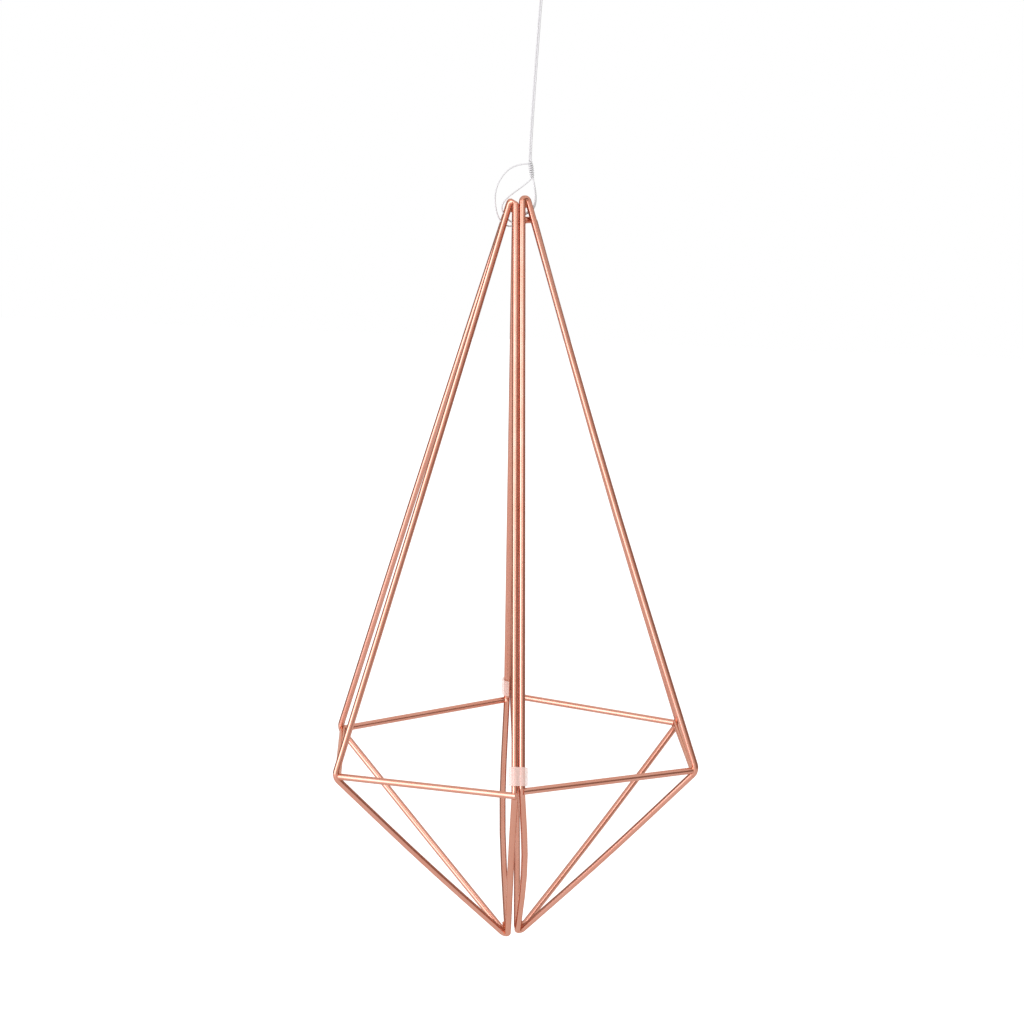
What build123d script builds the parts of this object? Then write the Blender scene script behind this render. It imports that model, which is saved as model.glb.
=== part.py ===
from build123d import *
import os
from math import cos, degrees, pi, radians, sin, tan

# Himmeli ornament of copper-plated wire: a tall six-sided double pyramid that
# hangs on a nylon thread. It is two welded half cages, held side by side by
# two soft plastic clips. Millimetres, +Z up. The ornament is drawn about the
# centre of its ring, and is hung plumb from its loop at the very end.

# --- wire cage ---
wire = 2.2                  # diameter of the drawn wire
ring_radius = 68.0          # ring centre to each corner, on the wire's centre line
top_height = 193.5          # ring to the point where the upper rods' centre lines meet
bottom_depth = 66.6         # ring to the point where the lower rods' centre lines meet
corner_lift = 2.3           # front and back corners stand this much over the ring's centre
side_lift = {"left": -0.5, "right": 0.6}    # the ring tilts a little
back_sway = -0.8            # the side corners at the back stand this far along X
side_angle = 30.0           # the side corners lie this far round from the X axis
fold_inside = 0.1           # inside radius of the sharp folds at both tips
corner_inside = 2.5         # inside radius of the bends at the ring's corners
weld_gap = 0.02             # between two wires that a weld spot joins
low_bow = {"left_front": -0.1, "left_back": -1.1, "right_front": 1.1, "right_back": 0.4}

# --- how the two halves sit in the clips ---
half_gap = 0.02             # between the wires of the two halves
left_forward = 0.8          # the left half sits this far in front of the right one
left_drop = 1.2             # and this far below it

# --- blunt top of the right back frame ---
blunt_drop = 12.1           # under the top point
blunt_inside = 0.3          # inside radius of its two bends
blunt_gap = 0.44            # along Y, from the front frame's wires to the blunt top's
upright_straight = 66.0     # the upright keeps to its clip this far, then leans in
upright_bend = 300.0        # radius of that lean

# --- crossbars: they lap the front and back corners on the outside ---
left_lap = 0.6              # a left bar runs past the middle of the corner's wire
right_lap = -0.3            # a right bar stops short of it

# --- clips ---
clip_length = 6.1           # along the rods
clip_wall = 0.8
clip_play = 0.05            # radial clearance on the wire
clip_mouth = 2.8            # opening on the inside, across both rods
clip_rib = 0.65             # the ribs between the rods end this far from their plane
clip_stand = 2.5            # end face to the ring's corner, along the rod
clip_edge = 0.3             # chamfer of the end edges

# --- nylon thread; heights are measured from the top point ---
thread = 0.5
strand_gap = 0.04           # between the two strands above the lower knot
strand_plane = -1.0         # Y of the lower knot
tie_top = 6.7
tie_bottom = 0.7
tie_x = (4.95, 4.25)        # lower knot's ends, bottom and top
tie_radius = (0.55, 0.92)   # at its ends and at its middle
tie_wraps = 7
thread_back = 0.12          # the loops lie this far back of halfway between the rods
riser_bends = [(4.1, 14.5)]
knot_x = 7.3                # upper knot
knot_over = 68.5
knot_radius = (0.5, 0.8)
knot_height = 1.4
knot_wraps = 2
knot_air = 1.05             # threads on the joints end this far from the knot's middle
loop_height = 14.0          # upper knot's middle to the crown the hook bears on
loop_width = 5.8            # between the loop's centre lines
loop_shoulder = 4.0         # the loop is parallel this far down
cut_end = 3.4               # length of the two cut ends

# --- densities, g/mm3, for the balance point ---
steel = 0.00785
soft_plastic = 0.0012
nylon = 0.00114

os.makedirs("parts", exist_ok=True)
parts = {}
density = {}


def add(name, shape, grams):
    parts[name] = shape
    density[name] = grams


def corners(side):
    """Corner points of one half cage, on the wires' centre lines; side is -1 or 1."""
    shift = Vector(side * half_spacing / 2, 0, 0)
    if side < 0:
        shift -= Vector(0, left_forward, left_drop)
    out = ring_radius * cos(radians(side_angle)) * side
    back = ring_radius * sin(radians(side_angle))
    lift = side_lift["left" if side < 0 else "right"]
    return {
        "top": shift + Vector(0, 0, top_height),
        "bottom": shift + Vector(0, 0, -bottom_depth),
        "front": shift + Vector(0, -ring_radius, corner_lift),
        "back": shift + Vector(0, ring_radius, corner_lift),
        "side_front": shift + Vector(out, -back, lift),
        "side_back": shift + Vector(out + back_sway, back, lift),
    }


def turn(a, b, c):
    return radians((b - a).get_angle(c - b))


def bend_radii(points):
    """Bends as wide as the runs beside them allow."""
    radii = []
    for a, b, c in zip(points, points[1:], points[2:]):
        shorter = min((b - a).length, (c - b).length)
        radii.append(0.45 * shorter / tan(turn(a, b, c) / 2))
    return radii


def at_height(a, b, z):
    """The point at height z on the line through a and b."""
    return a + (b - a) * ((z - a.Z) / (b.Z - a.Z))


def folded_tip(tip, middle, outer, facing, y):
    """A tip moved along Y until its sharp fold comes no nearer the middle than y."""
    for step in range(4):
        to_middle = (middle - tip).normalized()
        to_outer = (outer - tip).normalized()
        inward = (to_middle + to_outer).normalized()
        square = to_middle.cross(to_outer).normalized()
        half = radians(to_middle.get_angle(to_outer) / 2)
        centre = tip + inward * (fold_radius / sin(half))
        nearest = centre.Y - facing * fold_radius * (1 - square.Y ** 2) ** 0.5
        tip += Vector(0, y - nearest, 0)
    return tip


def rod(edges, diameter):
    """A round bar along straight runs and the arcs between them."""
    runs = []
    for edge in edges:
        start, heading = edge @ 0, edge % 0
        end_face = Plane(start, z_dir=heading) * Circle(diameter / 2)
        if edge.geom_type == GeomType.LINE:
            runs.append(extrude(end_face, edge.length))
            continue
        normal = edge.normal()
        if normal.cross(start - edge.arc_center).dot(heading) < 0:
            normal = normal * -1
        bend = Axis(edge.arc_center, normal)
        runs.append(revolve(end_face, bend, degrees(edge.length / edge.radius)))
    return runs[0] + runs[1:]


def largest(shape):
    return shape.solids().sort_by(SortBy.VOLUME)[-1]


fold_radius = wire / 2 + fold_inside
corner_radius = wire / 2 + corner_inside
blunt_radius = wire / 2 + blunt_inside
blunt_behind = wire + blunt_gap
half_spacing = wire + half_gap      # between the halves' middle planes


def frame_points(name, c):
    """Corners and bend radii of one frame: up its middle rod, over, and round the side."""
    which = name.split("_")[1]
    facing = -1 if which == "front" else 1
    middle, outer = c[which], c["side_" + which]
    fold_y = c["top"].Y + facing * (wire + weld_gap) / 2
    tops = [folded_tip(c["top"], middle, outer, facing, fold_y)]
    top_radii = [fold_radius]
    if name == "right_back":
        leaning = at_height(middle, tops[0], upright_straight)
        tops = [leaning] + blunt_ends(c)
        top_radii = [upright_bend, blunt_radius, blunt_radius]
    bottom = folded_tip(c["bottom"], middle, outer, facing, fold_y)
    bowed = (middle + bottom) * 0.5 + Vector(2 * low_bow[name], 0, 0)
    bow_radius = bend_radii([middle, bowed, bottom])
    points = [middle] + tops + [outer, bottom, bowed]
    return points, [corner_radius] + top_radii + [corner_radius, fold_radius] + bow_radius


def blunt_ends(c):
    """Ends of the blunt top, behind the two rods of the front frame."""
    front, _ = frame_points("right_front", c)
    foot, tip, outer = front[:3]
    height = top_height - blunt_drop
    behind = Vector(0, blunt_behind, 0)
    return [at_height(foot, tip, height) + behind, at_height(outer, tip, height) + behind]


def add_half(side_name, side, lap):
    """Two bent frames and the three bars that join them at the ring."""
    c = corners(side)
    for which in ("front", "back"):
        name = f"{side_name}_{which}"
        points, radii = frame_points(name, c)
        add(name + "_frame", rod(FilletPolyline(*points, radius=radii, close=True).edges(), wire), steel)
        end = c["side_" + which]
        along = (end - c[which]).normalized()
        bar = rod(Line(c[which] - along * lap, end).edges(), wire)
        add(name + "_crossbar", largest(bar - parts[name + "_frame"]), steel)
    bar = rod(Line(c["side_front"], c["side_back"]).edges(), wire)
    for which in ("front", "back"):
        name = f"{side_name}_{which}"
        bar -= parts[name + "_frame"]
        bar -= parts[name + "_crossbar"]
    add(side_name + "_side_bar", largest(bar), steel)
    return c


left = add_half("left", -1, left_lap)
right = add_half("right", 1, right_lap)


def rod_plane(which):
    """Square to both uprights, X from the left rod to the right one, which is at 0, 0."""
    foot = right[which]
    tip = frame_points("left_" + which, left)[0][1]
    up = (tip - left[which]).normalized()
    offset = foot - left[which]
    across = offset - up * offset.dot(up)
    return Plane(foot + up * clip_stand, x_dir=across, z_dir=up), across.length


def clip(which):
    """Soft double clip: a sleeve round both rods with a sprung mouth on the inside."""
    plane, pair = rod_plane(which)
    bore = wire / 2 + clip_play
    outside = bore + clip_wall
    inward = 1 if which == "front" else -1
    centre = Pos(-pair / 2, 0)
    sleeve = extrude(centre * SlotCenterToCenter(pair, 2 * outside), clip_length)
    ends = sleeve.edges().group_by(Axis.Z)
    sleeve = chamfer(ends[0] + ends[-1], clip_edge)
    hollow = Rectangle(pair, 2 * clip_rib)
    for x in (-pair / 2, pair / 2):
        hollow += Pos(x, 0) * Circle(bore)
    hollow += Pos(0, inward * outside / 2) * Rectangle(clip_mouth, outside)
    return plane * (sleeve - extrude(centre * hollow, clip_length))


for which in ("front", "back"):
    add(which + "_clip", clip(which), soft_plastic)


def wound_knot(plane, height, radii, wraps):
    """A barrel of thread turns, from the plane up."""
    pitch = height / wraps

    def barrel(z):
        return radii[0] + (radii[1] - radii[0]) * sin(pi * z / height)

    valleys = [(barrel(i * pitch) - 0.25 * pitch, i * pitch) for i in range(wraps + 1)]
    crests = [(barrel((i + 0.5) * pitch), (i + 0.5) * pitch) for i in range(wraps)]
    outline = [Line((0, 0), valleys[0])]
    for low, crest, high in zip(valleys, crests, valleys[1:]):
        outline.append(ThreePointArc(low, crest, high))
    outline += [Line(valleys[-1], (0, height)), Line((0, height), (0, 0))]
    section = Plane.XZ * make_face(Wire(outline).edges())
    return plane * revolve(section, Axis.Z)


def thread_along(points, hugging=None):
    """A tube of thread; hugging gives the bend round an edge, by its place in points."""
    radii = bend_radii(points)
    for place, radius in (hugging or {}).items():
        radii[place - 1] = radius
    path = FilletPolyline(*points, radius=radii)
    tube = rod(path.edges(), thread)
    by_volume = tube.volume / (pi * thread ** 2 / 4)
    bends = [round(radius, 1) for radius in radii]
    print(f"   thread {path.length:.1f} mm, volume / section {by_volume:.1f}, bends {bends}")
    return tube


# lower knot
tie_low = Vector(tie_x[0], strand_plane, top_height + tie_bottom)
tie_high = Vector(tie_x[1], strand_plane, top_height + tie_top)
tie_axis = tie_high - tie_low
add("lower_knot", wound_knot(Plane(tie_low, z_dir=tie_axis), tie_axis.length, tie_radius, tie_wraps), nylon)

# places where the thread goes between the rods under the right half's blunt top
right_front_points = frame_points("right_front", right)[0]
right_back_points = frame_points("right_back", right)[0]
front_foot, front_tip, front_outer = right_front_points[:3]
back_foot, blunt_inner, blunt_outer, back_outer = right_back_points[1:5]


def between(front_rod, back_rod, z):
    return (at_height(*front_rod, z) + at_height(*back_rod, z)) * 0.5 + Vector(0, thread_back, 0)


def between_uprights(z):
    return between((front_foot, front_tip), (back_foot, blunt_inner), z)


def between_side_rods(z):
    return between((front_outer, front_tip), (back_outer, blunt_outer), z)


under_blunt = top_height - blunt_drop - wire / 2 - thread / 2
snug_z = under_blunt - 0.15
slack_z = snug_z - thread - 0.15
round_wire = (wire + thread) / 2 + 0.05
left_weld = left["top"].Y

snug = [
    tie_low + Vector(-0.27, 0, 0.15),
    Vector(-0.7, strand_plane - 0.3, top_height - 3.3),
    Vector(-5.9, strand_plane - 0.2, top_height - 6.8),
    Vector(-5.0, left_weld, top_height - 11.3),
    Vector(-1.1, left_weld - 1.4, snug_z + 1.0),
    between_uprights(snug_z),
    between_side_rods(snug_z - 0.3) + Vector(1.2, 0.4, 0),
    Vector(5.9, strand_plane - 0.5, top_height - 6.5),
    tie_low + Vector(0.27, -0.2, 0.15),
]
add("apex_loop_snug", thread_along(snug, {6: round_wire}), nylon)

slack = [
    tie_high + Vector(-0.3, 0, -1.2),
    Vector(-1.2, strand_plane, top_height + 6.3),
    Vector(-6.0, strand_plane - 0.1, top_height + 2.1),
    Vector(-7.5, strand_plane - 0.1, top_height - 4.9),
    Vector(-6.3, left_weld, top_height - 12.9),
    Vector(-1.1, left_weld - 1.4, slack_z),
    between_uprights(slack_z),
    between_side_rods(slack_z - 0.3) + Vector(1.9, 0.5, 0),
    Vector(6.3, strand_plane + 0.3, top_height - 6.5),
    tie_low + Vector(0.2, 0.3, 0.15),
]
add("apex_loop_slack", thread_along(slack, {7: round_wire + thread}), nylon)

# balance point of all that swings, and from it the plumb line through the upper knot
mass = sum(parts[n].volume * density[n] for n in parts)
balance = Vector(0, 0, 0)
for name, shape in parts.items():
    balance += shape.center(CenterOf.MASS) * (shape.volume * density[name] / mass)
upper_knot = Vector(knot_x, balance.Y, top_height + knot_over)
plumb = (upper_knot - balance).normalized()
hung = Plane(upper_knot, x_dir=Vector(1, 0, 0) - plumb * plumb.X, z_dir=plumb)

# riser: two strands side by side from the lower knot to the upper one
for name, side in (("riser_left", -1), ("riser_right", 1)):
    shift = side * (thread + strand_gap) / 2
    strand = [tie_high + Vector(shift, 0, -0.15)]
    strand += [Vector(x + shift, strand_plane, top_height + z) for x, z in riser_bends]
    strand.append(upper_knot - plumb * knot_air + Vector(shift, 0, 0))
    add(name, thread_along(strand), nylon)

# hung plumb: the origin is where the hook bears, the upper knot is right under it
drop = Vector(0, 0, -loop_height)
for name in parts:
    parts[name] = Pos(drop) * hung.to_local_coords(parts[name])

knot_low = drop - Vector(0, 0, knot_height / 2)
add("upper_knot", wound_knot(Plane(knot_low), knot_height, knot_radius, knot_wraps), nylon)

for name, side in (("cut_end_front", -1), ("cut_end_back", 1)):
    end = [
        drop + Vector(0, side * knot_air, 0),
        drop + Vector(0.1 * side, side * (knot_air + 0.5 * cut_end), -0.1),
        drop + Vector(0.5 * side, side * (knot_air + 0.97 * cut_end), -0.9),
    ]
    add(name, thread_along(end), nylon)

crown = thread / 2
half_loop = loop_width / 2
neck = Vector(0.36, 0, -loop_height + knot_air)
loop = [
    Vector(-neck.X, 0, neck.Z),
    Vector(-half_loop, 0, -loop_shoulder),
    Vector(-half_loop, 0, crown),
    Vector(half_loop, 0, crown),
    Vector(half_loop, 0, -loop_shoulder),
    neck,
]
add("hanging_loop", thread_along(loop), nylon)

for name, shape in parts.items():
    shape = largest(shape)
    export_step(shape, f"parts/{name}.step")
    box = shape.bounding_box()
    print(f"{name:22s} volume {shape.volume:8.1f}  z {box.min.Z:8.2f} .. {box.max.Z:8.2f}")


def hung_point(point):
    return hung.to_local_coords(point) + drop


print("mass of the ornament, grams", round(mass, 1))
print("balance point", hung_point(balance), "lean", plumb)
for which in ("front", "back"):
    plane, pair = rod_plane(which)
    start = hung_point(plane.origin)
    print(which, "clip: rods", round(pair, 3), "apart, start", start, "axis",
          hung_point(plane.origin + plane.z_dir) - start)
print("ring centre", hung_point(Vector(0, 0, 0)), "axis", hung_point(Vector(0, 0, 1)) - hung_point(Vector(0, 0, 0)))
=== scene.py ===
import math

import bmesh
import bpy
from mathutils import Matrix, Quaternion, Vector, noise
from mathutils.bvhtree import BVHTree


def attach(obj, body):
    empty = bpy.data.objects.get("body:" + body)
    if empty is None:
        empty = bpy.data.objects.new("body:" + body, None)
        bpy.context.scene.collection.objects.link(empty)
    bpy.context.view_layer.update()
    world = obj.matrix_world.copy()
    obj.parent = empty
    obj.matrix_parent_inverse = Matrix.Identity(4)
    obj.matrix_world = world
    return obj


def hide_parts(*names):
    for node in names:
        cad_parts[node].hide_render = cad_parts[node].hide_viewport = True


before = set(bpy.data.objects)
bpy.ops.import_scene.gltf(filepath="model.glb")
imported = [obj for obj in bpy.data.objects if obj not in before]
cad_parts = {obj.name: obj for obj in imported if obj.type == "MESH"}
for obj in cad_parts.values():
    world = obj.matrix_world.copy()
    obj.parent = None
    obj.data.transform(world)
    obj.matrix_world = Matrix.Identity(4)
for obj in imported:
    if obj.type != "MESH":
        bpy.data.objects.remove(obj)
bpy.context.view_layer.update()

mm = 0.001

# The ornament is drawn in millimetres about the centre of its ring, then hung:
# it leans a little, so that its balance point is right under the hanging loop.
hanging = {
    "upperKnot": (7.3, -0.5792, 262.0),
    "loopHeight": 14.0,
    "lean": 1.9702,          # degrees
}
hungFrame = (Matrix.Translation((0, 0, -hanging["loopHeight"]))
             @ Matrix.Rotation(math.radians(-hanging["lean"]), 4, "Y")
             @ Matrix.Translation(-Vector(hanging["upperKnot"])))


def hung(point):
    return (hungFrame @ Vector(point)) * mm


def addObject(name, data):
    made = bpy.data.objects.new(name, data)
    bpy.context.scene.collection.objects.link(made)
    return made


def turnTo(thing, turn):
    thing.rotation_mode = "QUATERNION"
    thing.rotation_quaternion = turn


cameraSet = {
    "place": (-0.029529, -0.97887, -0.031922),
    "lookAt": (-0.002335, 0.003324, -0.194926),
    "roll": 2.5152,          # degrees
    "lens": 103.16,
    "sensor": 36,
    "clipStart": 0.01,
}
cameraData = bpy.data.cameras.new("photoCamera")
cameraData.lens = cameraSet["lens"]
cameraData.sensor_width = cameraSet["sensor"]
cameraData.clip_start = cameraSet["clipStart"]
camera = addObject("photoCamera", cameraData)
camera.location = cameraSet["place"]
viewLine = Vector(cameraSet["lookAt"]) - Vector(cameraSet["place"])
roll = Quaternion((0, 0, 1), math.radians(cameraSet["roll"]))
turnTo(camera, viewLine.to_track_quat("-Z", "Y") @ roll)
bpy.context.scene.camera = camera
print("camera set")

threadSet = {
    "thickness": 0.5,
    "strandShift": 0.27,     # each strand of the riser, to its side of the middle
    "stepsPerPoint": 16,
    "roundness": 5,
    "hangingLoopLength": 31.2,
    "riserLength": 61.0,
    "snugLoopLength": 39.4,
    "slackLoopLength": 50.2,
}
threadPieces = []


def threadCurve(name, points, body, node):
    data = bpy.data.curves.new(name, "CURVE")
    data.dimensions = "3D"
    spline = data.splines.new("NURBS")
    spline.points.add(len(points) - 1)
    for routePoint, point in zip(spline.points, points):
        routePoint.co = (*point, 1)
        # the thickness is set here, because a curve's box grows by this radius
        routePoint.radius = threadSet["thickness"] * mm / 2
    spline.order_u = 3
    spline.use_endpoint_u = True
    data.resolution_u = threadSet["stepsPerPoint"]
    data.bevel_depth = 1.0
    data.bevel_resolution = threadSet["roundness"]
    data.use_fill_caps = True
    thread = addObject(name, data)
    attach(thread, body)
    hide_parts(node)
    threadPieces.append(thread)
    return thread


# the two cut ends that stand out of the upper knot: the back one, and opposite it the front one
cutEndRoute = [(0, 1.05, -14.0), (0.1, 2.75, -14.1), (0.5, 4.35, -14.9)]
for side, name, node in ((-1, "cutEndFront", "cut_end_front"), (1, "cutEndBack", "cut_end_back")):
    points = [Vector((x * side, y * side, z)) * mm for x, y, z in cutEndRoute]
    threadCurve(name, points, "knot_ends", node)

# hanging loop, plumb over the upper knot
loopRoute = [
    (-0.36, 0, -12.95), (-2.9, 0, -4.0), (-2.9, 0, 0.25),
    (2.9, 0, 0.25), (2.9, 0, -4.0), (0.36, 0, -12.95),
]
points = [Vector(p) * mm for p in loopRoute]
hangingLoop = threadCurve("hangingLoop", points, "hook_loop", "hanging_loop")

# two strands side by side, from the knot over the cage to the upper knot
riserRoute = [(3.65, -1.0, 200.05), (3.55, -1.0, 208.0), (7.264, -0.579, 260.951)]
for side, name, node in ((-1, "riserLeft", "riser_left"), (1, "riserRight", "riser_right")):
    shift = side * threadSet["strandShift"]
    points = [hung((x + shift, y, z)) for x, y, z in riserRoute]
    riser = threadCurve(name, points, "ornament", node)

# two loops through the tops of both half cages
snugRoute = [
    (4.15, -1.0, 194.35), (3.6, -1.0, 193.2), (-4.6, -1.2, 187.4), (-6.0, -1.2, 184.2),
    (-4.4, -1.0, 181.2), (-1.5, -1.9, 178.9), (1.3, -2.3, 182.4), (4.9, -0.9, 183.9),
    (5.75, -1.1, 188.6), (4.65, -1.2, 194.35),
]
slackRoute = [
    (3.35, -1.0, 199.0), (-0.6, -1.0, 198.9), (-5.0, -1.0, 196.0), (-7.9, -1.1, 190.6),
    (-7.9, -1.0, 184.4), (-6.2, -0.8, 179.6), (-2.2, -1.6, 177.6), (1.3, -1.75, 182.0),
    (5.2, -0.3, 183.5), (6.0, -0.5, 188.6), (4.6, -0.65, 194.35),
]
for name, node, route, lay in (
        ("snugLoop", "apex_loop_snug", snugRoute, "taut"),
        ("slackLoop", "apex_loop_slack", slackRoute, "loose")):
    points = [hung(p) for p in route]
    loopPiece = threadCurve(name, points, "ornament", node)
print("thread laid")

# centre lines of the wire cage
cageSet = {
    "wire": 2.2,
    "ringRadius": 68.0,
    "topHeight": 193.5,
    "bottomDepth": 66.6,
    "cornerLift": 2.3,
    "sideLift": {"left": -0.5, "right": 0.6},
    "backSway": -0.8,
    "sideAngle": 30.0,
    "foldRadius": 1.2,
    "cornerRadius": 3.6,
    "weldGap": 0.02,
    "halfSpacing": 2.22,
    "leftForward": 0.8,
    "leftDrop": 1.2,
    # the blunt top of the right back frame, down from the top and behind the front frame
    "bluntDrop": 13.1,
    "bluntRadius": 1.4,
    "bluntBehind": 2.64,
    "uprightStraight": 66.0,
    "uprightBend": 300.0,
    # how far the ring bars' near ends run past the front and back corners
    "barLap": {"left": 0.6, "right": -0.3},
    "barInset": 1.2,         # the bars meet the side corners on the inside of the bent wire
    # the rods as bent by hand: middle of the inner lower one and of the outer upper one
    # along X, of the outer lower one down
    "lowBow": {"left_front": -0.1, "left_back": -1.1, "right_front": 1.1, "right_back": 0.4},
    "upperBow": {"left_front": 0.2, "left_back": -0.2, "right_front": -0.7, "right_back": -0.6},
    "underBow": {"left_front": 0.5, "left_back": 0.1, "right_front": 0.5, "right_back": 0.5},
    "bottomShift": {"left": (-0.4, 0, 0.5), "right": (0.6, 0, 0.1)},
    # the hammered top tips: height of their crown, which falls to the right from this X by
    # so much per mm, and the share that is left of what stood over it
    "crown": {"left": (187.33, -2.37, 0.609), "right": (188.55, 0, 0)},
    "overCrown": 0.12,
}
# how the centre lines are worked out
lineSet = {
    "step": 2.0,             # mm between points
    "barStep": 4.0,
    "bendStep": 5.0,         # degrees
    "fewestInBend": 3,
    "foldPasses": 4,
    "bendShare": 0.45,       # of a half rod, that the bow's arc takes up
}


def cageCorners(side):
    sideName = "left" if side < 0 else "right"
    shift = Vector((side * cageSet["halfSpacing"] / 2, 0, 0))
    if side < 0:
        shift -= Vector((0, cageSet["leftForward"], cageSet["leftDrop"]))
    radius = cageSet["ringRadius"]
    out = radius * math.cos(math.radians(cageSet["sideAngle"])) * side
    back = radius * math.sin(math.radians(cageSet["sideAngle"]))
    lift = cageSet["sideLift"][sideName]
    bottom = shift + Vector((0, 0, -cageSet["bottomDepth"]))
    return {
        "top": shift + Vector((0, 0, cageSet["topHeight"])),
        "bottom": bottom + Vector(cageSet["bottomShift"][sideName]),
        "front": shift + Vector((0, -radius, cageSet["cornerLift"])),
        "back": shift + Vector((0, radius, cageSet["cornerLift"])),
        "side_front": shift + Vector((out, -back, lift)),
        "side_back": shift + Vector((out + cageSet["backSway"], back, lift)),
    }


def atHeight(a, b, z):
    return a + (b - a) * ((z - a.z) / (b.z - a.z))


def foldedTip(tip, middle, outer, facing, y):
    # the two frames of a half touch at their folds, so each fold keeps to its own side of y
    radius = cageSet["foldRadius"]
    for step in range(lineSet["foldPasses"]):
        toMiddle = (middle - tip).normalized()
        toOuter = (outer - tip).normalized()
        inward = (toMiddle + toOuter).normalized()
        square = toMiddle.cross(toOuter).normalized()
        centre = tip + inward * (radius / math.sin(toMiddle.angle(toOuter) / 2))
        nearest = centre.y - facing * radius * math.sqrt(1 - square.y ** 2)
        tip = tip + Vector((0, y - nearest, 0))
    return tip


def widestBend(a, b, c):
    shorter = min((b - a).length, (c - b).length)
    return lineSet["bendShare"] * shorter / math.tan((b - a).angle(c - b) / 2)


def bluntEnds(corner):
    # the right back frame ends behind the two rods of the front one, 13 mm under its tip
    foot, outer = corner["front"], corner["side_front"]
    foldY = corner["top"].y - (cageSet["wire"] + cageSet["weldGap"]) / 2
    tip = foldedTip(corner["top"], foot, outer, -1, foldY)
    height = cageSet["topHeight"] - cageSet["bluntDrop"]
    behind = Vector((0, cageSet["bluntBehind"], 0))
    return [atHeight(foot, tip, height) + behind, atHeight(outer, tip, height) + behind]


def framePoints(name, corner):
    which = name.split("_")[1]
    facing = -1 if which == "front" else 1
    middle, outer = corner[which], corner["side_" + which]
    foldY = corner["top"].y + facing * (cageSet["wire"] + cageSet["weldGap"]) / 2
    tops = [foldedTip(corner["top"], middle, outer, facing, foldY)]
    topRadii = [cageSet["foldRadius"]]
    if name == "right_back":
        tops = [atHeight(middle, tops[0], cageSet["uprightStraight"])] + bluntEnds(corner)
        topRadii = [cageSet["uprightBend"], cageSet["bluntRadius"], cageSet["bluntRadius"]]
    bottom = foldedTip(corner["bottom"], middle, outer, facing, foldY)
    upper = (tops[-1] + outer) * 0.5 + Vector((2 * cageSet["upperBow"][name], 0, 0))
    under = (outer + bottom) * 0.5 - Vector((0, 0, 2 * cageSet["underBow"][name]))
    inner = (bottom + middle) * 0.5 + Vector((2 * cageSet["lowBow"][name], 0, 0))
    points = [middle] + tops + [upper, outer, under, bottom, inner]
    radii = [cageSet["cornerRadius"]] + topRadii + [
        widestBend(tops[-1], upper, outer), cageSet["cornerRadius"],
        widestBend(outer, under, bottom), cageSet["foldRadius"],
        widestBend(bottom, inner, middle)]
    return points, radii


def bentLine(points, radii):
    # straight runs with an arc at each corner, as wire comes off a bender
    line = []
    count = len(points)
    for i, (corner, radius) in enumerate(zip(points, radii)):
        into = (corner - points[i - 1]).normalized()
        out = (points[(i + 1) % count] - corner).normalized()
        turn = into.angle(out)
        axis = into.cross(out).normalized()
        start = corner - into * (radius * math.tan(turn / 2))
        centre = start + axis.cross(into) * radius
        pieces = max(lineSet["fewestInBend"], int(math.degrees(turn) / lineSet["bendStep"]))
        for k in range(pieces + 1):
            line.append(centre + Matrix.Rotation(turn * k / pieces, 3, axis) @ (start - centre))
    filled = []
    for i, point in enumerate(line):
        filled.append(point)
        ahead = line[(i + 1) % len(line)]
        extra = int((ahead - point).length / lineSet["step"])
        for k in range(1, extra):
            filled.append(point.lerp(ahead, k / extra))
    return filled


def carriedSides(line, closed):
    # a side vector for every point, carried along the line without twisting
    count = len(line)
    headings = []
    for i in range(count):
        a = line[i - 1] if (closed or i > 0) else line[i]
        b = line[(i + 1) % count] if (closed or i < count - 1) else line[i]
        headings.append((b - a).normalized())
    sides = [headings[0].orthogonal().normalized()]
    for i in range(1, count):
        carried = headings[i - 1].rotation_difference(headings[i]) @ sides[-1]
        sides.append(carried.normalized())
    if closed:
        last = headings[-1].rotation_difference(headings[0]) @ sides[-1]
        twist = math.atan2(last.cross(sides[0]).dot(headings[0]), last.dot(sides[0]))
        for i in range(count):
            sides[i] = Quaternion(headings[i], twist * i / count) @ sides[i]
    return headings, sides


# U runs along the wire in centimetres, V once round it
wireMap = {"name": "alongWire", "perMm": 0.1, "capSize": 0.02}


def sweptTube(line, radius, closed, around=20, roundedEnds=False):
    # gives the mesh, and its rings of points from start to end
    bm = bmesh.new()
    uv = bm.loops.layers.uv.new(wireMap["name"])
    headings, sides = carriedSides(line, closed)
    count = len(line)
    lengths = [0.0]
    for i in range(1, count):
        lengths.append(lengths[-1] + (line[i] - line[i - 1]).length)
    total = lengths[-1] + ((line[0] - line[-1]).length if closed else 0)
    rings = []
    for point, heading, side in zip(line, headings, sides):
        other = heading.cross(side)
        ring = []
        for k in range(around):
            angle = 2 * math.pi * k / around
            out = side * math.cos(angle) + other * math.sin(angle)
            ring.append(bm.verts.new(point + out * radius))
        rings.append(ring)
    for i in range(count if closed else count - 1):
        a, b = rings[i], rings[(i + 1) % count]
        start, end = lengths[i], total if i == count - 1 else lengths[i + 1]
        for k in range(around):
            m = (k + 1) % around
            face = bm.faces.new((a[k], a[m], b[m], b[k]))
            face.smooth = True
            for loop, u, v in zip(face.loops, (start, start, end, end), (k, k + 1, k + 1, k)):
                loop[uv].uv = (u * wireMap["perMm"], v / around)
    if not closed:
        for ring in (rings[0], rings[-1]):
            face = bm.faces.new(ring)
            face.smooth = roundedEnds
            for edge in face.edges:
                edge.smooth = roundedEnds
            for loop, k in zip(face.loops, range(around)):
                loop[uv].uv = (wireMap["capSize"] * math.cos(k), wireMap["capSize"] * math.sin(k))
    bmesh.ops.recalc_face_normals(bm, faces=bm.faces)
    return bm, rings


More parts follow.
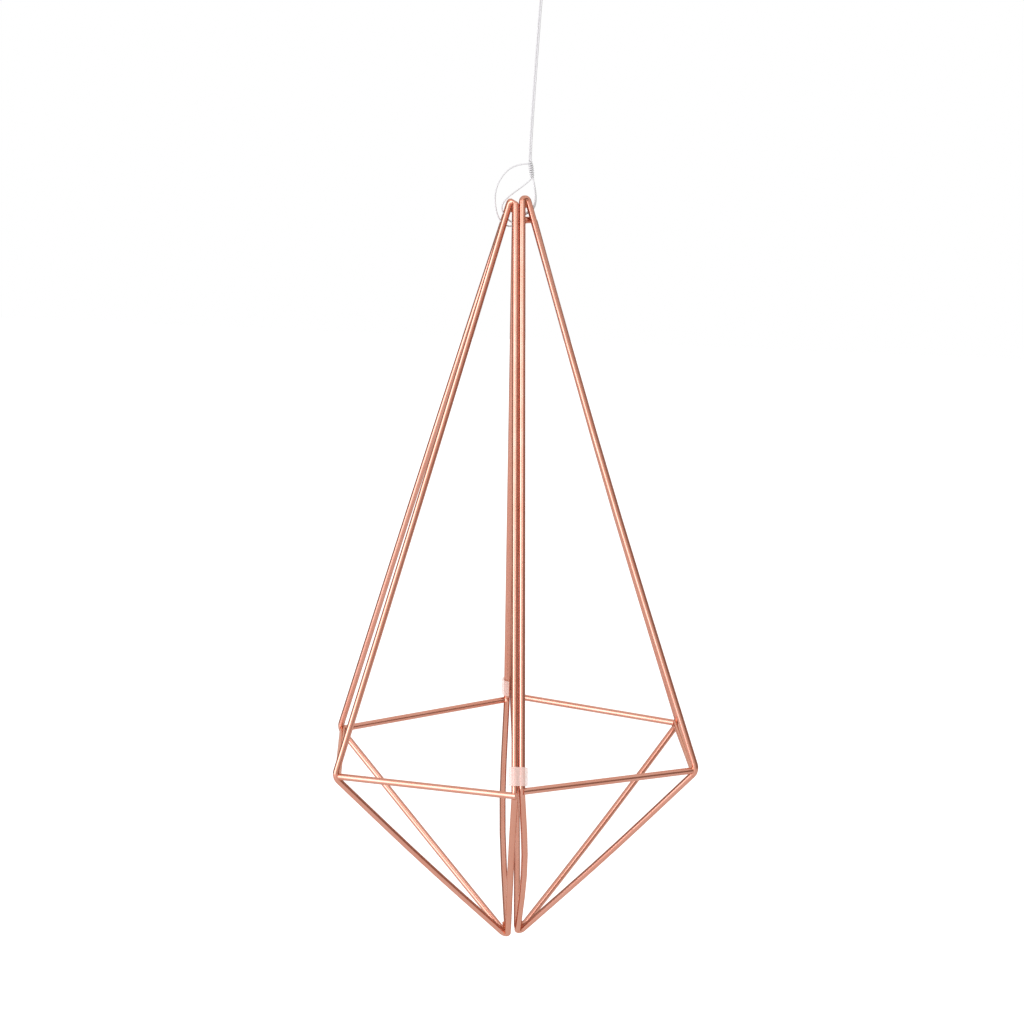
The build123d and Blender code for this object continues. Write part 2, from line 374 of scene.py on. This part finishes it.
def hammered(point, sideName):
    height, fromX, fall = cageSet["crown"][sideName]
    highest = height - fall * max(0.0, point.x - fromX)
    if point.z > highest:
        point.z = highest + cageSet["overCrown"] * (point.z - highest)
    return point


def finishMesh(name, bm, place=hungFrame):
    mesh = bpy.data.meshes.new(name)
    for vert in bm.verts:
        vert.co = place @ vert.co * mm
    bm.to_mesh(mesh)
    bm.free()
    return addObject(name, mesh)


wirePieces = []
frameLines = {}              # closed centre lines of the bent frames
ringBars = {}                # start and end of each half's front and back bar
sideBars = {}                # and of its side bar


def keepWire(piece, node):
    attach(piece, "ornament")
    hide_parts(node)
    wirePieces.append(piece)


copeSet = {
    "startBack": 6.0,        # rays look for the wire ahead from so far back in the bar
    "reach": 8.5,
    "sunk": 0.12,            # how far the ground end reaches into that wire
}


def copedBar(name, start, end, trees):
    # a cut bar whose ends are ground to fit the wires that they butt against
    heading = (end - start).normalized()
    steps = max(2, int((end - start).length / lineSet["barStep"]))
    line = [start.lerp(end, k / steps) for k in range(steps + 1)]
    bm, rings = sweptTube(line, cageSet["wire"] / 2, False)
    for ring, outward, tree in ((rings[0], -heading, trees[0]), (rings[-1], heading, trees[1])):
        if tree is None:
            continue
        reached = [tree.ray_cast(vert.co - outward * copeSet["startBack"], outward,
                                 copeSet["reach"])[3] for vert in ring]
        farthest = max(r for r in reached if r is not None)
        for vert, distance in zip(ring, reached):
            ahead = (distance or farthest) - copeSet["startBack"] + copeSet["sunk"]
            vert.co = vert.co + outward * ahead
    return finishMesh(name, bm)


for sideName, side in (("left", -1), ("right", 1)):
    corner = cageCorners(side)
    trees = {}
    for which in ("front", "back"):
        name = f"{sideName}_{which}"
        frameLines[name] = bentLine(*framePoints(name, corner))
        bm = sweptTube(frameLines[name], cageSet["wire"] / 2, True)[0]
        trees[which] = BVHTree.FromBMesh(bm)
        for vert in bm.verts:
            vert.co = hammered(vert.co, sideName)
        keepWire(finishMesh(sideName + which.capitalize() + "Frame", bm), name + "_frame")
    for which in ("front", "back"):
        name = f"{sideName}_{which}"
        outer = corner["side_" + which]
        inward = Vector((-outer.x, -outer.y, 0)).normalized()
        meet = outer + inward * cageSet["barInset"]
        heading = (meet - corner[which]).normalized()
        start = corner[which] - heading * cageSet["barLap"][sideName]
        ringBars[name] = (start, meet)
        label = sideName + which.capitalize() + "Crossbar"
        keepWire(copedBar(label, start, meet, (None, trees[which])), name + "_crossbar")
    sideBars[sideName] = (ringBars[sideName + "_front"][1], ringBars[sideName + "_back"][1])
    sideBar = copedBar(sideName + "SideBar", *sideBars[sideName], (trees["front"], trees["back"]))
    keepWire(sideBar, sideName + "_side_bar")
print("wire cage bent")

# weld spots: short stubs of the wires that meet, melted into each other
weldSet = {
    # how far a spot runs along a bent frame, each way from where the wires meet
    "cornerReach": 1.3,
    "sideReach": 2.1,
    "bluntReach": 1.6,
    "tipReach": 2.2,
    # the points of its stubs along the bars, from the corner
    "cornerStub": (0.5, 0.9, 1.3),
    "sideStub": (2.5, 2.0, 1.0),
    "lineStep": 0.5,
    "around": 16,
    "proud": -0.01,          # how far it stands out of the wires before it is smoothed
    "voxel": 0.17,
    "flow": 0.5,
    "smoothing": 12,
    "tipSmoothing": 5,
    "lumps": 0.06,
    "lumpScale": 1.3,
    "lumpShift": (7.3, 3.1),
    # weld metal inside the folded tips: its points from the crown, its lean and its radius
    "crotch": {"left": (0.2, 1.0, 3.7), "right": (0.2, 1.0, 3.1)},
    "crotchLean": 0.16,
    "crotchSize": 0.62,
}
weldPieces = []


def nearLine(line, centre, reach):
    # the stretch of a closed centre line round its point nearest the centre
    count = len(line)
    dense = []
    for i in range(count):
        a, b = line[i], line[(i + 1) % count]
        pieces = max(1, int((b - a).length / weldSet["lineStep"]))
        dense += [a.lerp(b, k / pieces) for k in range(pieces)]
    best = min(range(len(dense)), key=lambda i: (dense[i] - centre).length)
    stretch = [dense[best]]
    for step in (1, -1):
        travelled, i = 0.0, best
        while travelled < reach:
            ahead = (i + step) % len(dense)
            travelled += (dense[ahead] - dense[i]).length
            i = ahead
            stretch = stretch + [dense[i]] if step > 0 else [dense[i]] + stretch
    return stretch


def melted(name, joined, smoothing):
    mesh = bpy.data.meshes.new(name)
    joined.to_mesh(mesh)
    joined.free()
    spot = addObject(name, mesh)
    melt = spot.modifiers.new("melt", "REMESH")
    melt.mode = "VOXEL"
    melt.voxel_size = weldSet["voxel"]
    flow = spot.modifiers.new("flow", "SMOOTH")
    flow.factor = weldSet["flow"]
    flow.iterations = smoothing
    graph = bpy.context.evaluated_depsgraph_get()
    result = bpy.data.meshes.new_from_object(spot.evaluated_get(graph))
    spot.modifiers.clear()
    spot.data = result
    bpy.data.meshes.remove(mesh)
    return spot


def weldSpot(name, stretches, filler=0.0, smoothing=weldSet["smoothing"], crowned=None):
    # with a filler radius, the last stretch is weld metal of that size instead of wire
    joined = bmesh.new()
    for line in stretches:
        isFiller = filler and line is stretches[-1]
        radius = filler if isFiller else cageSet["wire"] / 2 + weldSet["proud"]
        bm = sweptTube(line, radius, False, around=weldSet["around"])[0]
        stub = bpy.data.meshes.new("stub")
        bm.to_mesh(stub)
        bm.free()
        joined.from_mesh(stub)
        bpy.data.meshes.remove(stub)
    spot = melted(name, joined, smoothing)
    # every spot has other lumps, cut from another place in the noise
    number = len(weldPieces)
    offset = Vector([number * shift for shift in weldSet["lumpShift"]] + [0])
    verts = spot.data.vertices
    lumps = [noise.noise(v.co * weldSet["lumpScale"] + offset) * weldSet["lumps"] * v.normal
             for v in verts]
    for vert, lump in zip(verts, lumps):
        lumpy = vert.co + lump
        vert.co = hungFrame @ (hammered(lumpy, crowned) if crowned else lumpy) * mm
    for face in spot.data.polygons:
        face.use_smooth = True
    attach(spot, "ornament")
    weldPieces.append(spot)


for sideName, side in (("left", -1), ("right", 1)):
    corner = cageCorners(side)
    for which in ("front", "back"):
        name = f"{sideName}_{which}"
        line = frameLines[name]
        start, meet = ringBars[name]
        heading = (meet - start).normalized()
        label = sideName + which.capitalize()
        stub = [start + heading * k for k in weldSet["cornerStub"]]
        weldSpot(label + "Weld", [nearLine(line, corner[which], weldSet["cornerReach"]), stub])
        runStart, runEnd = sideBars[sideName]
        run = (runEnd - runStart).normalized() * (1 if which == "front" else -1)
        stubs = [[meet + along * k for k in weldSet["sideStub"]] for along in (-heading, run)]
        weldSpot(label + "SideWeld", [nearLine(line, meet, weldSet["sideReach"])] + stubs)
    for tip, facing in (("top", 1), ("bottom", -1)):
        lines = [frameLines[sideName + "_front"], frameLines[sideName + "_back"]]
        blunt = sideName == "right" and tip == "top"
        if blunt:
            labels = ("rightBluntInnerWeld", "rightBluntOuterWeld")
            for label, end in zip(labels, bluntEnds(corner)):
                weldSpot(label, [nearLine(line, end, weldSet["bluntReach"]) for line in lines])
            lines = lines[:1]
        crowns = [max(line, key=lambda p: p.z * facing) for line in lines]
        stretches = [nearLine(line, crown, weldSet["tipReach"])
                     for line, crown in zip(lines, crowns)]
        # the crotch of the fold is filled with weld metal
        middle = sum(crowns, Vector()) / len(crowns)
        into = Vector((weldSet["crotchLean"] * side, 0, -facing)).normalized()
        stretches.append([middle + into * k for k in weldSet["crotch"][sideName]])
        weldSpot(sideName + tip.capitalize() + "Weld", stretches, filler=weldSet["crotchSize"],
                 smoothing=weldSet["tipSmoothing"], crowned=sideName)
print("weld spots set:", len(weldPieces))


def threadMesh(name, line, body, node, place):
    tube = sweptTube(line, threadSet["thickness"] / 2, False, around=12, roundedEnds=True)[0]
    piece = finishMesh(name, tube, place)
    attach(piece, body)
    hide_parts(node)
    threadPieces.append(piece)


# the lower knot is wound round the strands; sizes are those of the wraps' middle line
woundKnot = {
    "low": (4.4, -1.0, 194.2),
    "high": (3.65, -1.0, 200.2),
    "turns": 7.5,
    "stepsPerTurn": 24,
    "endSize": 0.34,
    "middleSize": 0.67,
    "fullness": 0.7,         # the lower, the sooner it is as wide as in its middle
    "unevenness": 0.05,
    "unevenWaves": 11.0,
    "flatness": 0.86,
    "firstWrap": 0.045,      # from low to high, as a share of the way
    "wrapSpan": 0.91,
}
low, high = Vector(woundKnot["low"]), Vector(woundKnot["high"])
axis = (high - low).normalized()
acrossX = (Vector((1, 0, 0)) - axis * axis.x).normalized()
acrossY = axis.cross(acrossX)
swelling = woundKnot["middleSize"] - woundKnot["endSize"]
wraps = []
steps = int(woundKnot["turns"] * woundKnot["stepsPerTurn"])
for k in range(steps + 1):
    t = k / steps
    size = woundKnot["endSize"] + swelling * math.sin(math.pi * t) ** woundKnot["fullness"]
    size *= 1 + woundKnot["unevenness"] * math.sin(woundKnot["unevenWaves"] * t)
    angle = 2 * math.pi * woundKnot["turns"] * t
    centre = low.lerp(high, woundKnot["firstWrap"] + woundKnot["wrapSpan"] * t)
    wraps.append(centre + acrossX * size * math.cos(angle)
                 + acrossY * size * woundKnot["flatness"] * math.sin(angle))
threadMesh("lowerKnot", wraps, "ornament", "lower_knot", hungFrame)

# the upper one is a small overhand knot, pulled tight
overhandKnot = {"steps": 72, "size": 0.155, "depth": 0.42}
overhand = []
for k in range(overhandKnot["steps"] + 1):
    t = 2 * math.pi * k / overhandKnot["steps"]
    x = overhandKnot["size"] * (math.sin(t) + 2 * math.sin(2 * t))
    y = overhandKnot["size"] * (math.cos(t) - 2 * math.cos(2 * t))
    z = -hanging["loopHeight"] - overhandKnot["depth"] * math.sin(3 * t)
    overhand.append(Vector((x, y, z)))
threadMesh("upperKnot", overhand, "knot", "upper_knot", Matrix())
print("knots tied")

clipSet = {
    "length": 6.1,
    "wall": 0.8,
    "play": 0.05,
    "mouth": 2.8,
    "rib": 0.65,
    "stand": 1.7,            # from the corner up along the wires
    "arcSteps": 22,
    "levels": 9,
    # its ends are snipped by hand, not quite square
    "slant": 0.03,
    "topSlant": 1.4,
    # and its walls are not quite even
    "unevenness": 0.006,
    "waveAcross": 0.6,
    "waveAlong": 0.5,
    "waveShift": 9,
    "edge": 0.24,
    "edgeSteps": 3,
    "edgeAngle": 55,         # degrees
}
clipPieces = []


def clipOutline(pair):
    # seen from above: X from the left bore to the right one, the mouth on the +Y side
    bore = cageSet["wire"] / 2 + clipSet["play"]
    outside = bore + clipSet["wall"]
    half, mouth = pair / 2, clipSet["mouth"] / 2
    outLip = math.degrees(math.acos((mouth - half) / outside))
    inLip = math.degrees(math.acos((mouth - half) / bore))
    ribAngle = math.degrees(math.asin(clipSet["rib"] / bore))
    points = []
    for x, radius, a0, a1 in (
            (half, outside, outLip, -90), (-half, outside, 270, 180 - outLip),
            (-half, bore, 180 - inLip, 360 - ribAngle), (half, bore, 180 + ribAngle, 360 + inLip)):
        for k in range(clipSet["arcSteps"] + 1):
            angle = math.radians(a0 + (a1 - a0) * k / clipSet["arcSteps"])
            points.append(Vector((x + radius * math.cos(angle), radius * math.sin(angle), 0)))
    return points


def buildClip(which, node):
    left, right = cageCorners(-1), cageCorners(1)
    tip = framePoints("left_" + which, left)[0][1]
    up = (tip - left[which]).normalized()
    offset = right[which] - left[which]
    across = offset - up * offset.dot(up)
    pair = across.length
    across.normalize()
    forward = up.cross(across)
    inward = 1 if which == "front" else -1
    start = right[which] + up * clipSet["stand"] - across * (pair / 2)
    bm = bmesh.new()
    rings = []
    levels = clipSet["levels"]
    for i in range(levels + 1):
        ring = []
        for p in clipOutline(pair):
            y = p.y * inward
            z = clipSet["length"] * i / levels
            if i == 0:
                z += clipSet["slant"] * (p.x + y)
            if i == levels:
                z -= clipSet["slant"] * (p.x - clipSet["topSlant"] * y)
            wave = noise.noise(Vector((p.x * clipSet["waveAcross"], y * clipSet["waveAcross"],
                                       z * clipSet["waveAlong"] + clipSet["waveShift"] * inward)))
            breathe = 1 + clipSet["unevenness"] * wave
            place = start + across * p.x * breathe + forward * y * breathe + up * z
            ring.append(bm.verts.new(place))
        rings.append(ring)
    count = len(rings[0])
    for i in range(levels):
        for k in range(count):
            m = (k + 1) % count
            bm.faces.new((rings[i][k], rings[i][m], rings[i + 1][m], rings[i + 1][k]))
    bm.faces.new(rings[0])
    bm.faces.new(rings[-1])
    bmesh.ops.recalc_face_normals(bm, faces=bm.faces)
    for face in bm.faces:
        face.smooth = True
    clip = finishMesh(which + "Clip", bm)
    soften = clip.modifiers.new("soften", "BEVEL")
    soften.width = clipSet["edge"] * mm
    soften.segments = clipSet["edgeSteps"]
    soften.limit_method = "ANGLE"
    soften.angle_limit = math.radians(clipSet["edgeAngle"])
    shade = clip.modifiers.new("shade", "WEIGHTED_NORMAL")
    shade.keep_sharp = True
    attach(clip, node)
    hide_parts(node)
    clipPieces.append(clip)


buildClip("front", "front_clip")
buildClip("back", "back_clip")
print("clips pushed on")


def setInputs(tree, node, inputs):
    # another node's output is linked, anything else is the socket's own value
    for key, value in inputs.items():
        if isinstance(value, bpy.types.NodeSocket):
            tree.links.new(value, node.inputs[key])
        else:
            node.inputs[key].default_value = value


def addNode(tree, kind, inputs=None, **settings):
    node = tree.nodes.new(kind)
    for key, value in settings.items():
        setattr(node, key, value)
    setInputs(tree, node, inputs or {})
    return node


def maths(tree, operation, *values):
    node = addNode(tree, "ShaderNodeMath", dict(enumerate(values)), operation=operation)
    return node.outputs[0]


def ranged(tree, value, low, high, fromLow=0.0, fromHigh=1.0):
    return addNode(tree, "ShaderNodeMapRange", {
        "Value": value, "From Min": fromLow, "From Max": fromHigh, "To Min": low, "To Max": high,
    }).outputs["Result"]


def mixColour(tree, factor, a, b):
    # 6 and 7 are this node's two colours, and 2 is the mixed one
    mix = addNode(tree, "ShaderNodeMix", data_type="RGBA")
    setInputs(tree, mix, {0: factor, 6: a, 7: b})
    return mix.outputs[2]


# long draw marks, soft blotches of handling and fine specks on drawn wire
markSet = {
    "alongScale": 0.5,
    "aroundScale": 0.16,
    "lineDetail": 4.0,
    "blotchDetail": 3.0,
    "blotchRoughness": 0.55,
    "blotchRange": (0.36, 0.66),
    "speckScale": 900.0,
    "speckRange": (0.05, 0.16),
}
drawnMarks = bpy.data.node_groups.new("drawnMarks", "ShaderNodeTree")
for way, names in (("INPUT", ("Lines Around", "Blotch Size")),
                   ("OUTPUT", ("Lines", "Blotches", "Specks"))):
    for name in names:
        drawnMarks.interface.new_socket(name=name, in_out=way, socket_type="NodeSocketFloat")
groupIn = addNode(drawnMarks, "NodeGroupInput").outputs
# V goes once round the wire, so the pattern is laid on a circle and has no seam
wireUV = addNode(drawnMarks, "ShaderNodeUVMap", uv_map=wireMap["name"])
split = addNode(drawnMarks, "ShaderNodeSeparateXYZ", {0: wireUV.outputs["UV"]}).outputs
turnAngle = maths(drawnMarks, "MULTIPLY", split["Y"], 2 * math.pi)
roundWire = addNode(drawnMarks, "ShaderNodeCombineXYZ", {
    "X": split["X"],
    "Y": maths(drawnMarks, "COSINE", turnAngle),
    "Z": maths(drawnMarks, "SINE", turnAngle),
})
perTurn = maths(drawnMarks, "MULTIPLY", groupIn["Lines Around"], markSet["aroundScale"])
spread = addNode(drawnMarks, "ShaderNodeCombineXYZ", {
    "X": markSet["alongScale"], "Y": perTurn, "Z": perTurn,
})
stretched = addNode(drawnMarks, "ShaderNodeVectorMath", {
    0: roundWire.outputs[0], 1: spread.outputs[0],
}, operation="MULTIPLY")
lineNoise = addNode(drawnMarks, "ShaderNodeTexNoise", {
    "Vector": stretched.outputs[0], "Scale": 1.0, "Detail": markSet["lineDetail"],
})
onPiece = addNode(drawnMarks, "ShaderNodeTexCoord").outputs["Object"]
blotchNoise = addNode(drawnMarks, "ShaderNodeTexNoise", {
    "Vector": onPiece,
    "Scale": groupIn["Blotch Size"],
    "Detail": markSet["blotchDetail"],
    "Roughness": markSet["blotchRoughness"],
})
speckCells = addNode(drawnMarks, "ShaderNodeTexVoronoi", {
    "Vector": onPiece, "Scale": markSet["speckScale"],
})
addNode(drawnMarks, "NodeGroupOutput", {
    "Lines": lineNoise.outputs["Fac"],
    "Blotches": ranged(drawnMarks, blotchNoise.outputs["Fac"], 0.0, 1.0, *markSet["blotchRange"]),
    "Specks": ranged(drawnMarks, speckCells.outputs["Distance"], 1.0, 0.0, *markSet["speckRange"]),
})


def newMaterial(name):
    material = bpy.data.materials.new(name)
    material.use_nodes = True
    return material, material.node_tree, material.node_tree.nodes["Principled BSDF"]


def relief(tree, height, strength, distance):
    return addNode(tree, "ShaderNodeBump", {
        "Height": height, "Strength": strength, "Distance": distance,
    }).outputs["Normal"]


def platedMetal(name, values):
    material, tree, shader = newMaterial(name)
    marks = addNode(tree, "ShaderNodeGroup", node_tree=drawnMarks)
    setInputs(tree, marks, {
        "Lines Around": values["linesAround"], "Blotch Size": values["blotchSize"],
    })
    lines, blotches, specks = (marks.outputs[key] for key in ("Lines", "Blotches", "Specks"))
    lined = mixColour(tree, lines, values["deep"], values["base"])
    warmth = ranged(tree, blotches, 0.0, values["warmth"])
    toned = mixColour(tree, warmth, lined, values["warm"])
    speckling = ranged(tree, specks, 0.0, values["speckling"])
    specked = mixColour(tree, speckling, toned, values["speck"])
    grain = maths(tree, "ADD", ranged(tree, lines, values["smooth"], values["rough"]),
                  ranged(tree, blotches, *values["blotchGrain"]))
    setInputs(tree, shader, {
        "Base Color": specked,
        "Metallic": 1.0,
        "Specular Tint": values["edge"],
        "Roughness": grain,
        "Normal": relief(tree, lines, values["relief"], values["reliefDepth"]),
    })
    return material


copperPlating = platedMetal("copperPlating", {
    "base": (0.68, 0.35, 0.265, 1),
    "deep": (0.62, 0.295, 0.215, 1),
    "warm": (0.63, 0.27, 0.185, 1),
    "warmth": 0.55,
    "speck": (0.38, 0.16, 0.10, 1),
    "speckling": 0.12,
    "edge": (0.92, 0.72, 0.62, 1),   # keeps the colour where the wire is seen at a slant
    "linesAround": 14.0,
    "blotchSize": 90.0,
    "blotchGrain": (-0.03, 0.04),
    "smooth": 0.16,
    "rough": 0.21,
    "relief": 0.015,
    "reliefDepth": 0.00002,
})
weldedCopper = platedMetal("weldedCopper", {
    "base": (0.60, 0.25, 0.155, 1),
    "deep": (0.50, 0.18, 0.10, 1),
    "warm": (0.52, 0.15, 0.07, 1),
    "warmth": 0.8,
    "speck": (0.30, 0.09, 0.05, 1),
    "speckling": 0.3,
    "edge": (0.8, 0.5, 0.4, 1),
    "linesAround": 10.0,
    "blotchSize": 420.0,
    "blotchGrain": (-0.03, 0.04),
    "smooth": 0.2,
    "rough": 0.3,
    "relief": 0.15,
    "reliefDepth": 0.00002,
})


def cloudyPlastic(name, values):
    material, tree, shader = newMaterial(name)
    clouds = addNode(tree, "ShaderNodeTexNoise", {
        "Vector": addNode(tree, "ShaderNodeTexCoord").outputs["Object"],
        "Scale": values["cloudScale"],
        "Detail": values["cloudDetail"],
    }).outputs["Fac"]
    setInputs(tree, shader, {
        "Base Color": mixColour(tree, clouds, values["cloudy"], values["clear"]),
        "Roughness": ranged(tree, clouds, *values["roughness"]),
        "Alpha": values["opacity"],
        "IOR": values["ior"],
    })
    if "relief" in values:
        normal = relief(tree, clouds, values["relief"], values["reliefDepth"])
        setInputs(tree, shader, {"Normal": normal})
    return material


nylonThread = cloudyPlastic("nylonThread", {
    "clear": (0.66, 0.655, 0.645, 1),
    "cloudy": (0.59, 0.585, 0.575, 1),
    "cloudScale": 700.0,
    "cloudDetail": 2.0,
    "roughness": (0.12, 0.3),
    "opacity": 0.94,
    "ior": 1.53,
})
softClip = cloudyPlastic("softClip", {
    "clear": (0.96, 0.76, 0.68, 1),
    "cloudy": (0.92, 0.68, 0.59, 1),
    "cloudScale": 420.0,
    "cloudDetail": 3.0,
    "roughness": (0.14, 0.26),
    "relief": 0.1,
    "reliefDepth": 0.00003,
    "opacity": 0.45,
    "ior": 1.45,
})
for pieces, material in ((wirePieces, copperPlating), (weldPieces, weldedCopper),
                         (threadPieces, nylonThread), (clipPieces, softClip)):
    for piece in pieces:
        piece.data.materials.append(material)
print("materials given")

stageSet = {
    "floorZ": -0.56,
    "floorSize": 8.0,
    "floorColour": (0.8, 0.8, 0.8, 1),
    "floorRoughness": 0.9,
    "floorForSight": 0.5,    # added where the camera looks at it
    "floorForShine": 0.1,    # and where the metal mirrors it
    "worldForSight": 1.0,    # where the camera or the metal's reflections look at it
    "worldForLight": 0.9,
    "white": (1, 1, 1, 1),
    "cardColour": (0.02, 0.02, 0.02, 1),
    "centre": (0.0, 0.0, -0.2),
    "softboxTint": (1.0, 0.96, 1.08),
}


def plainPlane(name, size, place, turn):
    bm = bmesh.new()
    width, height = size[0] / 2, size[1] / 2
    corners = ((-width, -height), (width, -height), (width, height), (-width, height))
    bm.faces.new([bm.verts.new((x, y, 0)) for x, y in corners])
    mesh = bpy.data.meshes.new(name)
    bm.to_mesh(mesh)
    bm.free()
    plane = addObject(name, mesh)
    plane.location = place
    turnTo(plane, turn)
    return plane


floorExtent = (stageSet["floorSize"], stageSet["floorSize"])
floor = plainPlane("studioFloor", floorExtent, (0, 0, stageSet["floorZ"]), Quaternion())
floorPaint, tree, shader = newMaterial("floorPaint")
path = addNode(tree, "ShaderNodeLightPath").outputs
glow = maths(tree, "MULTIPLY", path["Is Camera Ray"], stageSet["floorForSight"])
glow = maths(tree, "MULTIPLY_ADD", path["Is Glossy Ray"], stageSet["floorForShine"], glow)
setInputs(tree, shader, {
    "Base Color": stageSet["floorColour"],
    "Roughness": stageSet["floorRoughness"],
    "Specular IOR Level": 0.0,
    "Emission Color": stageSet["white"],
    "Emission Strength": glow,
})
floor.data.materials.append(floorPaint)

world = bpy.data.worlds.new("studio")
bpy.context.scene.world = world
world.use_nodes = True
tree = world.node_tree
path = addNode(tree, "ShaderNodeLightPath").outputs
seen = maths(tree, "MAXIMUM", path["Is Camera Ray"], path["Is Glossy Ray"])
setInputs(tree, tree.nodes["Background"], {
    "Color": stageSet["white"],
    "Strength": ranged(tree, seen, stageSet["worldForLight"], stageSet["worldForSight"]),
})


def placed(azimuth, elevation, distance):
    # azimuth 0 is the camera's side, positive to its right
    a, e = math.radians(azimuth), math.radians(elevation)
    out = Vector((math.sin(a) * math.cos(e), -math.cos(a) * math.cos(e), math.sin(e)))
    return Vector(stageSet["centre"]) + out * distance, out


def softbox(name, azimuth, elevation, distance, size, radiance):
    data = bpy.data.lights.new(name, "AREA")
    data.shape = "RECTANGLE"
    data.size, data.size_y = size
    data.energy = radiance * math.pi * size[0] * size[1]
    data.color = stageSet["softboxTint"]
    lamp = addObject(name, data)
    lamp.location, out = placed(azimuth, elevation, distance)
    turnTo(lamp, (-out).to_track_quat("-Z", "Y"))


def flag(name, azimuth, elevation, distance, size, shade):
    # a dark studio card, that only the metal's reflections see
    cardPaint, tree, shader = newMaterial(name + "Paint")
    setInputs(tree, shader, {
        "Base Color": stageSet["cardColour"],
        "Roughness": 1.0,
        "Emission Color": shade,
        "Emission Strength": 1.0,
    })
    place, out = placed(azimuth, elevation, distance)
    card = plainPlane(name, size, place, out.to_track_quat("Z", "Y"))
    card.visible_camera = False
    card.visible_diffuse = False
    card.visible_shadow = False
    card.visible_transmission = False
    card.data.materials.append(cardPaint)


# azimuth, elevation, distance and size, then a softbox's radiance or a flag's shade
softboxes = {
    "leftSoftbox": (-50, 4, 1.3, (1.0, 1.5), 3.0),
    "topSoftbox": (6, 38, 1.3, (0.3, 0.5), 3.2),
}
flags = {
    "rightFlag": (80, 0, 1.3, (1.7, 1.3), (0.30, 0.22, 0.19, 1)),
    "backLeftFlag": (-114, 0, 1.4, (1.9, 1.6), (0.36, 0.34, 0.32, 1)),
    "rightShade": (33, 4, 1.3, (0.7, 1.2), (0.64, 0.55, 0.50, 1)),
    "backRightFlag": (142, 0, 1.4, (0.9, 1.6), (0.30, 0.27, 0.25, 1)),
}
for name, values in softboxes.items():
    softbox(name, *values)
for name, values in flags.items():
    flag(name, *values)
print("lights set")

bpy.context.scene.view_settings.view_transform = "Standard"
